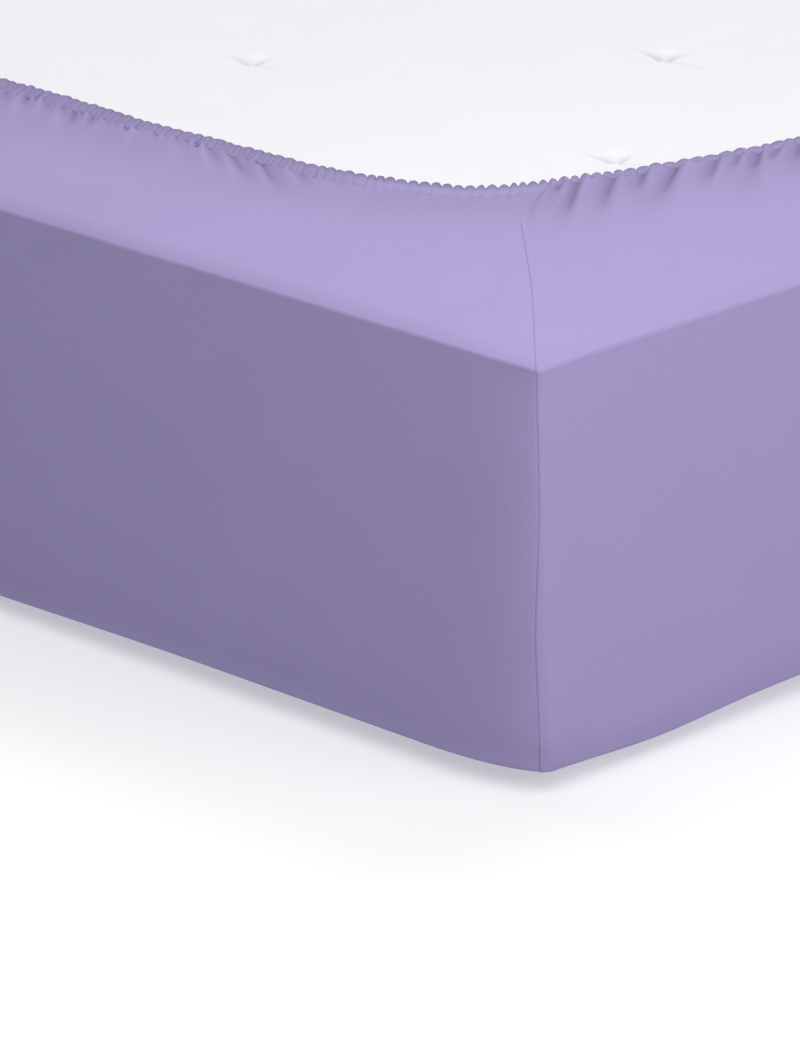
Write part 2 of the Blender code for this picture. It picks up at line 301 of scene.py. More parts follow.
END_CREASES = (
    # foot and tip of each crease, each as its distance from the end and from the side,
    # then depth and width
    (0.1900, 0.2120, 0.1790, 0.1950, 0.30, 0.0018),
    (0.1829, 0.2185, 0.1682, 0.1955, 0.95, 0.0024),
    (0.1742, 0.2215, 0.1265, 0.1566, 1.00, 0.0033),
    (0.1723, 0.2506, 0.1228, 0.1809, 1.00, 0.0035),
    (0.1652, 0.2674, 0.1365, 0.2266, 1.00, 0.0031),
    (0.1573, 0.2856, 0.1144, 0.2175, 1.00, 0.0035),
    (0.1457, 0.3041, 0.1220, 0.2693, 0.88, 0.0029),
    (0.1431, 0.3205, 0.1275, 0.2961, 0.76, 0.0026),
    (0.1413, 0.3362, 0.1148, 0.2993, 1.00, 0.0031),
    (0.1393, 0.3493, 0.1242, 0.3228, 0.83, 0.0029),
    (0.1400, 0.3720, 0.1107, 0.3298, 1.00, 0.0033),
    (0.1395, 0.3880, 0.1257, 0.3652, 0.76, 0.0026),
    (0.1395, 0.4080, 0.1062, 0.3674, 1.00, 0.0033),
    (0.1395, 0.4300, 0.1225, 0.4105, 0.76, 0.0029),
    # soft troughs that carry on from the deepest
    (0.1829, 0.2185, 0.1390, 0.1560, 0.50, 0.0050),
    (0.1742, 0.2215, 0.1180, 0.1450, 0.55, 0.0065),
    (0.1723, 0.2506, 0.1100, 0.1640, 0.60, 0.0070),
    (0.1652, 0.2674, 0.1180, 0.2010, 0.45, 0.0060),
    (0.1573, 0.2856, 0.1000, 0.1950, 0.60, 0.0075),
    (0.1457, 0.3041, 0.1080, 0.2500, 0.42, 0.0065),
    (0.1413, 0.3362, 0.0900, 0.2650, 0.58, 0.0080),
    (0.1400, 0.3720, 0.0900, 0.3050, 0.50, 0.0085),
    (0.1395, 0.4080, 0.0930, 0.3560, 0.50, 0.0090),
)
SIDE_CREASES = (
    # distance of the foot from the end, reach outwards, lean to the corner, depth, width
    (0.2671, 0.014, 1.16, 0.66, 0.0023),
    (0.2750, 0.014, 1.34, 0.72, 0.0023),
    (0.2906, 0.020, 1.38, 0.78, 0.0028),
    (0.3071, 0.025, 1.17, 0.90, 0.0030),
    (0.3125, 0.019, 1.54, 0.60, 0.0025),
    (0.3315, 0.035, 1.57, 1.00, 0.0037),
    (0.3426, 0.017, 1.61, 0.66, 0.0028),
    (0.3527, 0.030, 1.54, 0.96, 0.0037),
    (0.3565, 0.022, 1.47, 0.60, 0.0028),
    (0.3709, 0.020, 1.51, 0.78, 0.0032),
    (0.3968, 0.014, 1.50, 0.54, 0.0030),
    (0.4275, 0.012, 1.06, 0.48, 0.0028),
    (0.4554, 0.013, 0.98, 0.60, 0.0028),
    (0.4669, 0.019, 0.81, 0.84, 0.0032),
    (0.4821, 0.028, 0.90, 0.96, 0.0034),
    (0.4907, 0.022, 1.06, 0.72, 0.0030),
    (0.5066, 0.017, 1.09, 0.72, 0.0030),
    (0.5239, 0.019, 1.04, 0.78, 0.0032),
    (0.5411, 0.020, 0.99, 0.84, 0.0032),
)
SIDE_LOWER = 0.030  # how much further in the side's creases start near the corner
SIDE_LOWER_AT = 0.37
SIDE_LOWER_REACH = 0.12
SEEN_SEAM = 1  # its creases stand as listed, the other corners' differ by chance
END_MOVE = 0.004
END_LENGTHS = (0.7, 1.1)
END_PACE = 1.05  # way along the hem for each metre along the end
SIDE_MOVE = 0.005
SIDE_LENGTHS = (0.7, 1.2)
SIDE_PACE = 1.04

SIDE_TABLE_END = 0.552  # beyond it, the long sides' creases are laid by chance
FAR_PITCH = 0.017
FAR_WANDER = 0.3
FAR_LEAN = 0.8
FAR_REACHES = (0.008, 0.020)
FAR_DEPTHS = (0.4, 0.8)
FAR_WIDTHS = (0.0022, 0.0032)
NOTCH_STEP = 0.01  # from the stitch line to where a notch's way out is measured
NOTCH_LEAN = 0.8
NOTCH_LEAN_REACH = 0.08
NOTCH_REACHES = (0.002, 0.009)
NOTCH_DEPTHS = (0.35, 0.95)
NOTCH_CREASE = 0.0014  # width

SOFT_CUT = 0.72  # share of a crease's depth that its soft flanks reach
CREASE_SPREAD = 0.8  # how much wider a crease grows towards its tip
CREASE_LENGTH = 0.85  # where a crease fades, in its own lengths
STEEP_FLANK = 0.60  # width of a crease's steep flank, in crease widths
GENTLE_FLANK = 1.35
HARD_WIDTH = 0.0010  # of the sharp line at the bottom
HARD_LENGTH = 0.6
CREASE_SHADE = 0.46  # share of the painted shade colour on the flanks and the bottom
CREASE_DARK = 0.90
GATHER_SHADE = 0.27  # share of the painted shade colour between the ridges, which stay lighter as painted highlight
GATHER_FADE = 0.075
RIDGE_SWELL = 0.0009
RIDGE_START = 0.1  # in crease lengths before the foot
RIDGE_LENGTH = 1.7  # in crease lengths
RIDGE_AT = 1.45  # in crease widths from the bottom of the crease
RIDGE_WIDTH = 0.65

CASING_WIDTH = Varied(0.0120, 0.0125, 0.0065, start=0.06)  # stitch line to inner edge
CREST_HEIGHT = 0.0058
LIFT = {"side": 0.0042, "seam": 0.0006, "end": 0.0056}
LIFT_FADE = {"side": 0.024, "end": 0.055}
LIFT_START = 0.08  # from the seam, on the side
LIFT_REACH = {"side": 0.08, "end": 0.008}
LIFT_EDGE = (0.0006, 0.0150, 0.020)  # start on the end: least, more at the hem, its fade
LIFT_WAVES = ((0.16, 131, 1.0), (0.12, 57, 2.0))  # share, radians in a metre, start
LIFT_CLOSE = 0.03
LIFT_TAKEN = 0.96  # share of the lift that the deepest crease takes away


def lay_scallops(dice):
    """Where each scallop of the hem starts, and how big it is."""
    edges = [0.0]
    while edges[-1] < HEM_LENGTH:
        pitch = SCALLOP_PITCH.at(Columns([edges[-1]]))
        edges.append(edges[-1] + float(pitch[0]) * (1 + SCALLOP_UNEVEN * dice.uniform(-1, 1)))
    edges = np.array(edges) * HEM_LENGTH / edges[-1]
    return edges, dice.uniform(*SCALLOP_SIZES, len(edges) - 1)


def below_hem(cols, beyond):
    """Points on the band, beyond the stitch line by the given distance."""
    return hem_line(cols, CASING_WIDTH.at(cols) + beyond)


def in_corner(seam, end_gap, side_gap):
    """The point at given distances from the end and the side that meet at a seam."""
    across, along = (-1, -1, 1, 1)[seam], (-1, 1, 1, -1)[seam]
    return np.array((along * (LENGTH / 2 - end_gap), across * (WIDTH / 2 - side_gap)))


def end_creases(seam, ahead, dice):
    """Creases below the hem on the end at one corner."""
    for foot_end, foot_side, tip_end, tip_side, depth, width in END_CREASES:
        foot = in_corner(seam, foot_end, foot_side)
        tip = in_corner(seam, tip_end, tip_side)
        if seam != SEEN_SEAM:
            move = np.array((0.0, END_MOVE * dice.uniform(-1, 1)))
            foot, tip = foot + move, foot + move + (tip - foot) * dice.uniform(*END_LENGTHS)
        way = HEM_START[seam] + ahead * (foot_side - SEAM_INSET) * END_PACE
        yield way, ahead, foot, tip, depth, width


def side_creases(seam, ahead, dice):
    """Creases below the hem on the long side at one corner."""
    for foot_end, reach, lean, depth, width in SIDE_CREASES:
        lower = SIDE_LOWER * smooth((SIDE_LOWER_AT - foot_end) / SIDE_LOWER_REACH) ** 2
        foot_side = HEM_INSET_SIDE - CASING_WIDTH.side + lower
        if seam != SEEN_SEAM:
            foot_end += SIDE_MOVE * dice.uniform(-1, 1)
            reach *= dice.uniform(*SIDE_LENGTHS)
        foot = in_corner(seam, foot_end, foot_side)
        tip = in_corner(seam, foot_end - lean * reach, foot_side - reach)
        way = HEM_START[seam] - ahead * (foot_end - SEAM_INSET) * SIDE_PACE
        yield way, -ahead, foot, tip, depth, width


def far_creases(side, dice):
    """Creases of a long side away from its corners."""
    middle = HEM_START[side] + HEM_HALF[side]
    half = LENGTH / 2 - SIDE_TABLE_END
    count = int(2 * half / FAR_PITCH)
    for step in range(count):
        along = half * (2 * (step + 0.5 + FAR_WANDER * dice.uniform(-1, 1)) / count - 1)
        reach = dice.uniform(*FAR_REACHES)
        lean = FAR_LEAN * along / half + FAR_WANDER * dice.uniform(-1, 1)
        out = OUTWARD[side] * (WIDTH / 2 - HEM_INSET_SIDE + CASING_WIDTH.side)
        foot = ALONG[side] * along + out
        tip = foot + (ALONG[side] * lean + OUTWARD[side]) * reach
        depth, width = dice.uniform(*FAR_DEPTHS), dice.uniform(*FAR_WIDTHS)
        yield middle + along, np.sign(along), foot, tip, depth, width


def notch_creases(dice):
    """Small creases below the notches between the scallops."""
    spots = Columns(SCALLOP_EDGES[:-1])
    feet, outer = below_hem(spots, 0.0), below_hem(spots, NOTCH_STEP)
    for way, foot, out, gap, sign in zip(spots.way, feet, outer, spots.gap, spots.sign):
        step = (out - foot) / NOTCH_STEP
        lean = NOTCH_LEAN * sign * smooth(gap / NOTCH_LEAN_REACH)
        reach = dice.uniform(*NOTCH_REACHES)
        tip = foot + (step + lean * np.array((-step[1], step[0]))) * reach
        yield way, sign, foot, tip, dice.uniform(*NOTCH_DEPTHS), NOTCH_CREASE


def lay_creases(dice):
    """Every crease below the hem: way, side of its steep flank, foot, tip, depth and width."""
    for seam in range(4):
        ahead = 1.0 if seam % 2 == 1 else -1.0
        yield from end_creases(seam, ahead, dice)
        yield from side_creases(seam, ahead, dice)
    for side in (0, 2):
        yield from far_creases(side, dice)
    yield from notch_creases(dice)


dice = np.random.default_rng(SEED)
SCALLOP_EDGES, SCALLOP_SIZE = lay_scallops(dice)
CREASES = list(lay_creases(dice))


def scallop_share(way):
    """How far along its scallop each place is, and the scallop's size."""
    index = np.clip(np.searchsorted(SCALLOP_EDGES, way, side="right") - 1, 0, len(SCALLOP_SIZE) - 1)
    start = SCALLOP_EDGES[index]
    return (way - start) / (SCALLOP_EDGES[index + 1] - start), SCALLOP_SIZE[index]


def scallop_at(cols):
    """How high each place is on its scallop, 0 in a notch and 1 on top, and its size."""
    share, size = scallop_share(cols.way)
    apart = SCALLOP_APART.at(cols)
    return np.sqrt(np.maximum(0.0, 1 - ((2 * share - 1) / (1 - apart)) ** 2)), size


def gather_lift(cols, beyond):
    """Height that the gathers hold the cloth above the mattress."""
    least, more, fade = LIFT_EDGE
    edge = least + more * np.exp(-beyond / fade)
    end = mixed(LIFT["seam"], LIFT["end"], smooth((cols.near - edge) / LIFT_REACH["end"]))
    side = mixed(LIFT["seam"], LIFT["side"], smooth((-cols.near - LIFT_START) / LIFT_REACH["side"]))
    swell = 1
    for high, pace, start in LIFT_WAVES:
        swell = swell + high * np.sin(cols.way * pace + start)
    lift = np.where(cols.near > 0, end, side) * swell
    fade = np.where(cols.near > 0, LIFT_FADE["end"], LIFT_FADE["side"])
    return lift * np.exp(-np.maximum(beyond, 0.0) / fade) * smooth((GATHER_REACH - beyond) / LIFT_CLOSE)


def crease_form(share, across, depth, width):
    """Cut and ridge of one crease, at shares of its length and distances across it."""
    past = np.maximum(share, 0)
    spread = 1 + CREASE_SPREAD * np.clip(share, 0, 1.5)
    wide = width * spread * np.where(across > 0, STEEP_FLANK, GENTLE_FLANK)
    soft = SOFT_CUT * np.exp(-0.5 * (across / wide) ** 2)
    hard = (1 - SOFT_CUT) * np.exp(-0.5 * (across / (HARD_WIDTH * spread)) ** 2)
    hard = hard / (1 + (past / HARD_LENGTH) ** 6)
    cut = depth * (soft + hard) / (1 + (past / CREASE_LENGTH) ** 4)
    ridge = depth * bell((across / (width * spread) - RIDGE_AT) / RIDGE_WIDTH)
    return cut, ridge * smooth(share / RIDGE_START + 1) / (1 + (past / RIDGE_LENGTH) ** 4)


def crease_shares(ways, points):
    """How deep the creases are cut and how near each ridge is, 0 to 1, at rings of points."""
    total = np.zeros((2, *points.shape[:2]))
    for way, steep, foot, tip, depth, width in CREASES:
        length = float(np.linalg.norm(tip - foot))
        run = (tip - foot) / length
        reach = 1.5 * length + 4 * width + 0.012  # it has faded further off
        for turn in (0.0, HEM_LENGTH, -HEM_LENGTH):
            first, last = np.searchsorted(ways, (way - reach + turn, way + reach + turn))
            if last <= first:
                continue
            off = points[:, first:last] - foot
            across = steep * (run[0] * off[:, :, 1] - run[1] * off[:, :, 0])
            forms = crease_form(off @ run / length, across, depth, width)
            total[:, :, first:last] = np.maximum(total[:, :, first:last], forms)
    return total


def crease_painted_shade(cut):
    """Painted shade in a crease: soft on its flanks, full at its bottom."""
    flank = np.minimum(cut / SOFT_CUT, 1.0) ** 1.3
    bottom = np.maximum(cut - SOFT_CUT, 0.0) / (1 - SOFT_CUT)
    return CREASE_SHADE * flank + (CREASE_DARK - CREASE_SHADE) * bottom


# --- Meshes made of rings ---


def quads(start_a, start_b, count):
    """Faces between two rings with the same number of vertices."""
    here = np.arange(count)
    after = np.roll(here, -1)
    return np.column_stack((start_a + here, start_a + after, start_b + after, start_b + here)).tolist()


def strip(ring_a, places_a, ring_b, places_b, whole):
    """Triangles between two rings, from how far round the whole each vertex is."""
    ahead_a, ahead_b = (np.append(places, places[0] + whole) for places in (places_a, places_b))
    loop_a, loop_b = [*ring_a, ring_a[0]], [*ring_b, ring_b[0]]
    faces = []
    a = b = 0
    while a + b < len(ring_a) + len(ring_b):
        if b == len(ring_b) or (a < len(ring_a) and ahead_a[a + 1] <= ahead_b[b + 1]):
            a += 1
            faces.append((loop_a[a - 1], loop_a[a], loop_b[b]))
        else:
            b += 1
            faces.append((loop_a[a], loop_b[b], loop_b[b - 1]))
    return faces


def fan(start, count, middle):
    """Triangles from a ring to a vertex in its middle."""
    return [(start + here, start + (here + 1) % count, middle) for here in range(count)]


def in_a_row(faces):
    """The vertices of all the faces, one after another."""
    return np.array([index for face in faces for index in face])


def add_object(name, data):
    """A new object in the scene."""
    thing = bpy.data.objects.new(name, data)
    bpy.context.scene.collection.objects.link(thing)
    return thing


def make_piece(name, points, faces, material, flat, shades):
    """A smooth piece, with each face corner's place on the flat cloth and each point's painted shade.
    """
    mesh = bpy.data.meshes.new(name)
    mesh.from_pydata(points.tolist(), [], faces)
    piece = add_object(name, mesh)
    mesh.shade_smooth()
    mesh.materials.append(material)
    layer = mesh.uv_layers.new(name="cloth")
    layer.data.foreach_set("uv", flat.astype(np.float32).ravel())
    layer = mesh.attributes.new("shade", "FLOAT", "POINT")
    layer.data.foreach_set("value", shades.astype(np.float32))
    bm = bmesh.new()
    bm.from_mesh(mesh)
    bmesh.ops.recalc_face_normals(bm, faces=bm.faces)
    bm.to_mesh(mesh)
    bm.free()
    return piece


class Shell:
    """A closed mesh made of rings of columns round the sheet."""

    def __init__(self):
        self.rows = []  # points, ways, levels up the cloth and shades
        self.rings = []  # ways and first vertex
        self.faces = []
        self.count = 0
        self.level = 0.0
        self.spot = None

    def lay(self, points, ways, shade):
        """Adds vertices, and gives the number of the first."""
        count = len(points)
        self.rows.append((points, ways, np.full(count, self.level), np.broadcast_to(shade, count)))
        self.count += count
        return self.count - count

    def add(self, cols, points, shade=0.0):
        """Adds a ring, joined to the one before it; shade is how much painted shade its cloth gets."""
        spot = points[np.argmin(np.abs(cols.way - HEM_HALF[0]))]
        if self.rings:
            self.level += float(np.linalg.norm(spot - self.spot))
        self.spot = spot
        self.rings.append((cols.way, self.lay(points, cols.way, shade)))
        if len(self.rings) > 1:
            self.join(*self.rings[-2:])

    def join(self, ring_a, ring_b):
        """Faces between two rings."""
        (ways_a, start_a), (ways_b, start_b) = ring_a, ring_b
        if len(ways_a) == len(ways_b):
            self.faces += quads(start_a, start_b, len(ways_a))
        else:
            self.faces += strip(range(start_a, start_a + len(ways_a)), ways_a,
                                range(start_b, start_b + len(ways_b)), ways_b, HEM_LENGTH)

    def cap(self, index):
        """A fan from a ring to the middle of the lowest one."""
        ways, start = self.rings[index]
        lowest = self.rows[0][0]
        middle = self.lay(lowest.mean(axis=0)[None, :], HEM_HALF[:1], 0.0)
        self.faces += fan(start, len(ways), middle)

    def build(self, name, material, straight=True):
        """The piece; its cloth's coordinates run straight along each side, or along the hem."""
        points, ways, levels, shades = map(np.concatenate, zip(*self.rows))
        corner = in_a_row(self.faces)
        along = straight_along(points, ways, self.faces) if straight else ways[corner]
        return make_piece(name, points, self.faces, material,
                          np.column_stack((along, levels[corner])), shades)


def straight_along(points, ways, faces):
    """How far each corner of a face is along the side that the face is on, in metres."""
    corner = in_a_row(faces)
    total = np.array([len(face) for face in faces])
    first = np.cumsum(total) - total
    cols = Columns(ways)
    gap = cols.gap[corner]
    chosen = gap >= np.repeat(np.maximum.reduceat(gap, first), total) - 1e-12
    side = np.maximum.reduceat(np.where(chosen, cols.side[corner], 0), first)
    return (ALONG[np.repeat(side, total)] * points[corner, :2]).sum(axis=1)


# --- The sheet ---
STRAIGHT_STEPS = {"side": 44, "end": 26}
ARC_STEPS = {"side": 14, "end": 3}
LOW_STEPS = 10
WALL_STEPS = 16
BAND_SHARES = (0.12, 0.28, 0.48, 0.70, 0.88)
GATHER_REACH = 0.110
GATHER_STEPS = 26
HEM_STEPS = {"side": ((0.06, 0.0024), (0.42, 0.0018), (1.0, 0.0030)), "end": ((0.30, 0.0013),)}
LINING_STEPS = (0.004, 0.02, 0.05)  # rings of the hidden inner face, beyond the stitch line
LEAN = {"side": 1.0, "end": 1.4}  # of the columns, which run the way the creases do
LEAN_REACH = 0.040
LEAN_CLEAR = 0.004
LEAN_SOFTNESS = 0.75
LEAN_MIDDLE = 0.05
SHADED_LIFT = 0.0010  # least height of the gathers with full painted shade
RIDGED_LIFT = 0.0020  # and with full ridges


def ways_of_gaps(gaps_by_kind):
    """Ways round the whole sheet from the gaps to a seam on half of each side."""
    ways = []
    for side, kind in enumerate(KIND):
        half = HEM_HALF[side]
        gaps = sorted(gap for gap in gaps_by_kind[kind] if gap < half - 1e-6)
        ways.extend(HEM_START[side] + gap for gap in gaps)
        ways.append(HEM_START[side] + half)
        ways.extend(HEM_START[side + 1] - gap for gap in reversed(gaps) if gap > 0)
    return np.array(ways)


def wall_columns():
    """Columns of the sides and the band."""
    gaps = {}
    for half, kind in zip(HEM_HALF, ARC_STEPS):
        arc = 1 - ARC_SHARE[kind]
        places = [arc * step / STRAIGHT_STEPS[kind] for step in range(1, STRAIGHT_STEPS[kind] + 1)]
        steps = ARC_STEPS[kind]
        places += [arc + ARC_SHARE[kind] * step / steps for step in range(1, steps + 1)]
        gaps[kind] = list(SEAM_GAPS) + [half - place * (half - SEAM_ZONE) for place in places]
    return Columns(ways_of_gaps(gaps))


def hem_columns():
    """Columns of the gathered part, close enough together for its creases."""
    gaps = {}
    for kind in HEM_STEPS:
        places = list(SEAM_GAPS) + [SEAM_ZONE]
        for limit, step in HEM_STEPS[kind]:
            while places[-1] < limit:
                places.append(places[-1] + step)
        gaps[kind] = places
    return Columns(ways_of_gaps(gaps))


def seam_relief(cols):
    """Height of the cloth beside the seam: a puff, then a turn down into it."""
    inside = np.clip(1 - cols.gap / SEAM_ROLL, 0, 1)
    roll = -SEAM_ROLL * (1 - np.sqrt(1 - inside ** 2))
    puff = SEAM_PUFF * bell((cols.gap - SEAM_PUFF_AT) / SEAM_PUFF_WIDTH)
    return np.where(cols.creep > 0, roll + puff, 0.0)


def seam_shade(cols):
    """Painted shade where the cloth turns down into the seam."""
    return SEAM_SHADE * np.clip(1 - cols.gap / SEAM_SHADE_REACH, 0, 1)


def bowed(cols, points, share):
    """Points moved with the seam's bow: share is 0 near the hem and 1 at the fold."""
    amount = SEAM_BOW * np.sin(pi * np.clip(share, 0, 1) ** 1.4)
    amount = amount * bell(cols.gap / SEAM_BOW_WIDTH) / sqrt(2)
    return points + np.sign(points) * (1, -1) * amount[:, None]


def raised(points, normal, tilt, amount):
    """Points moved out of the cloth; tilt is 0 on the sides and 90 degrees on top."""
    move = np.column_stack((normal * cos(tilt), np.full(len(normal), sin(tilt))))
    return points + move * np.asarray(amount)[:, None]


def fold_step(cols, angle, thinner):
    """Inset and drop of a fold at an angle from level: loose on top, then tight."""
    weight = smooth((cols.near + FOLD_BLEND) / (2 * FOLD_BLEND))
    turn = mixed(FOLD_BREAK["side"], FOLD_BREAK["end"], weight)
    tight = mixed(FOLD_TIGHT["side"], FOLD_TIGHT["end"], weight) - thinner
    loose = FOLD_LOOSE - thinner
    steep, gentle = np.maximum(angle, turn), np.minimum(angle, turn)
    inset = tight * (1 - np.sin(steep)) + loose * (np.sin(turn) - np.sin(gentle))
    drop = loose * (cos(FOLD_TOP) - np.cos(gentle)) + tight * (np.cos(turn) - np.cos(steep))
    return inset, drop


def lower_edge_tighter(cols):
    """How much smaller the radius of the lower edge is than at the corners."""
    away = HALF_ALONG[cols.side] * (1 - cols.place)
    on_side, start, reach = LOW_TIGHTER_SIDE
    on_end, place, width = LOW_TIGHTER_END
    on_side = on_side * smooth((away - start) / reach)
    return np.where(cols.end, on_end * bell((away - place) / width), on_side)


def side_rings(cols, grow, relief):
    """Rings from the floor up to the edge of the band above."""
    low = LOW_RADIUS + grow - lower_edge_tighter(cols)
    thinner = OUTER - grow
    inset, _ = fold_step(cols, FOLD_TOP, thinner)
    plan = corner_plan(EDGE_HEIGHT)
    points, _ = outline(cols, grow, inset, plan)
    rim = crown(points, CLOTH_REACH) + grow
    for step in range(LOW_STEPS + 1):
        angle = step / LOW_STEPS * pi / 2
        height = BASE - grow + low * (1 - cos(angle))
        points, normal = outline(cols, grow, low * (1 - sin(angle)), corner_plan(height))
        yield raised(with_height(points, height), normal, angle - pi / 2, relief)
    top = rim - fold_step(cols, pi / 2, thinner)[1]
    bottom = BASE - grow + low
    for step in range(1, WALL_STEPS + 1):
        share = step / WALL_STEPS
        height = mixed(bottom, top, share)
        spread = grow + BELLY * sin(pi * share)
        points, normal = outline(cols, spread, 0.0, corner_plan(height))
        yield raised(with_height(points, height), normal, 0.0, relief)
    for degrees in FOLD_ANGLES:
        angle = radians(degrees)
        inset, drop = fold_step(cols, angle, thinner)
        points, normal = outline(cols, grow, inset, plan)
        yield raised(with_height(points, rim - drop), normal, pi / 2 - angle, relief)


def band_ring(cols, grow, share, relief):
    """A ring between the fold and the gathered part."""
    inset, _ = fold_step(cols, FOLD_TOP, OUTER - grow)
    start, _ = outline(cols, grow, inset, corner_plan(EDGE_HEIGHT))
    points = mixed(start, below_hem(cols, GATHER_REACH), share)
    met = (CASING_WIDTH.at(cols) + GATHER_REACH - SEAM_BOW_START) / SEAM_BOW_REACH
    return on_top(bowed(cols, points, 1 - share * (1 - met)), grow, relief)


def moved_to_seam(cols, move):
    """Columns moved towards their seams, less so beside a seam and in the middle of a side."""
    room = np.maximum(cols.gap - LEAN_CLEAR, 0.0)
    held = np.maximum(move, 1e-9)
    move = held * (1 - np.exp(-LEAN_SOFTNESS * room / held))
    middle = smooth((HEM_HALF[cols.side] - cols.gap) / LEAN_MIDDLE)
    return Columns(cols.way + cols.sign * move * middle)


def leaning(cols, beyond):
    """Columns that run the way the creases do."""
    fall = smooth((GATHER_REACH - beyond) / (GATHER_REACH - LEAN_REACH))
    lean = np.where(cols.end, LEAN["end"], LEAN["side"])
    return moved_to_seam(cols, lean * min(beyond, LEAN_REACH) * fall)


def gathered_line(cols, beyond):
    """Points of the gathered part, with the seam's bow."""
    out = CASING_WIDTH.at(cols) + beyond
    return bowed(cols, hem_line(cols, out), (out - SEAM_BOW_START) / SEAM_BOW_REACH)


def gathered_rings(cols):
    """Rings from the plain band up to the stitch line, each with its columns and its painted shade."""
    steps = range(GATHER_STEPS + 1)
    beyonds = [GATHER_REACH * (1 - step / GATHER_STEPS) ** 1.5 for step in steps]
    leant = [leaning(cols, beyond) for beyond in beyonds]
    flat = np.array([gathered_line(here, beyond) for here, beyond in zip(leant, beyonds)])
    for here, points, beyond, cut, ridge in zip(leant, flat, beyonds, *crease_shares(cols.way, flat)):
        shown = smooth((beyond - SEAM_HIDDEN) / SEAM_SHOWING)
        lift = gather_lift(here, beyond)
        ridge = ridge * smooth(lift / RIDGED_LIFT) * (1 - cut)
        shade = crease_painted_shade(cut) * np.minimum(lift / SHADED_LIFT, 1.0)
        fade = smooth((GATHER_FADE - beyond) / GATHER_FADE)
        shade = shade + GATHER_SHADE * fade * (1 - ridge) * (1 - cut)
        ring = on_top(points, OUTER, lift * (1 - LIFT_TAKEN * cut), RIDGE_SWELL * ridge,
                      seam_relief(here) * shown)
        yield here, ring, np.maximum(shade, seam_shade(here) * shown)


def build_sheet(material):
    """The sheet: its outer face up to the stitch line, then its hidden inner face back down."""
    shell = Shell()
    wall, hem = wall_columns(), hem_columns()
    relief, still = seam_relief(wall), np.zeros(len(wall.way))
    for ring in side_rings(wall, OUTER, relief):
        shell.add(wall, ring, seam_shade(wall))
    for share in BAND_SHARES:
        shell.add(wall, band_ring(wall, OUTER, share, relief), seam_shade(wall))
    for here, ring, shade in gathered_rings(hem):
        shell.add(here, ring, shade)
    shell.add(hem, on_top(below_hem(hem, 0.0), GAP))
    for beyond in LINING_STEPS:
        shell.add(wall, on_top(below_hem(wall, beyond), GAP))
    for share in reversed(BAND_SHARES[::2]):
        shell.add(wall, band_ring(wall, GAP, share, still))
    for ring in list(side_rings(wall, GAP, still))[::-2]:
        shell.add(wall, ring)
    shell.cap(0)
    shell.cap(-1)
    return shell.build("fitted_sheet", material)


# --- The gathered hem ---
CASING_SHARES = (1.14, 1.0, 0.93, 0.86, 0.68, 0.52, 0.38, 0.25, 0.13)  # 1 is the stitch line
CASING_FOOT = 0.0006  # height of the casing's hidden edge above the mattress
CASING_POWER = Varied(0.9, 3.2, 1.2, end_reach=0.04)  # how late it rises to its crest
CASING_LEAN = 0.5
CASING_LEAN_REACH = 0.1
CASING_UNDER = 0.9  # place of the hidden lower face's only ring
CREST_CARRIED = 0.2  # share of the gathers' lift that also raises the crest
CREST_BY_SIZE = (0.86, 0.14)  # least, and more with a scallop's size
NOTCH = Varied(0.0014, 0.0018, 0.0019)  # depth between two scallops
NOTCH_BY_SIZE = (0.6, 0.4)
NOTCH_FADE = Varied(0.3, 2.2, 0.6)  # how soon it fades across the casing
# painted shade in the notches between scallops
NOTCH_SHADE = Varied(0.80, 0.08, 0.50, end_reach=0.04)
RIB_DEPTH = 0.0006
RIB_WIDTH = 0.09  # in scallops
RIB_FADE = (0.3, 0.25)  # shares of the casing, at the stitch line and at the crest
RIB_PLACE = (0.09, 0.08)  # start and reach on the side
# painted shade in the rib's groove
RIB_SHADE = 0.80
STITCH_STEP = Varied(0.0003, 0.0003, 0.0002)  # rise of the casing at the stitch line
STITCH_BY_CUT = (0.2, 0.8)
STITCH_SHADE = Varied(0.80, 0.30, 0.95)
STITCH_SHARE = 0.93
STITCH_SPREAD = 0.08
STITCH_MARKS = (2100, 730)  # radians in a metre
# painted shade all over the casing
CASING_SHADE = Varied(0.40, 0.08, 0.22)
BEAD_TURNS = (0, 24, 48, 72, 98, 126, 155, 178)
BEAD_OUT = (0.30, 0.90)  # in radii: least, and more on a scallop
# painted shade on the rolled edge of the bead
BEAD_SHADE = Varied(0.75, 1.0, 0.80, end_reach=0.04)


def casing_columns():
    """Columns of the casing, at the same shares of each scallop."""
    ways = []
    for start, end in zip(SCALLOP_EDGES, SCALLOP_EDGES[1:]):
        ways.extend(start + (end - start) * np.array(SCALLOP_SAMPLES))
    return Columns(ways)


def leant_casing(cols, share):
    """Columns of the casing, whose ribs lean towards the seams."""
    lean = CASING_LEAN * smooth(cols.gap / CASING_LEAN_REACH)
    return moved_to_seam(cols, lean * CASING_WIDTH.at(cols) * share)


def crest_height(cols, bump, size, share=0.0):
    """Height of the scallops, with their notches as deep as they are at a share of the casing."""
    fade = (1 - share) ** NOTCH_FADE.at(cols)
    notch = NOTCH.at(cols) * fade
    high = CREST_HEIGHT * (CREST_BY_SIZE[0] + CREST_BY_SIZE[1] * size)
    return high - notch * (1 - bump) * (NOTCH_BY_SIZE[0] + NOTCH_BY_SIZE[1] * size)


def rib_at(cols, share):
    """How near each place is to the rib down the middle of its scallop."""
    rib = bell((scallop_share(cols.way)[0] - 0.5) / RIB_WIDTH)
    rib = rib * smooth(max(0.0, 1 - share) / RIB_FADE[0]) * smooth(share / RIB_FADE[1])
    return rib * smooth((-cols.near - RIB_PLACE[0]) / RIB_PLACE[1])


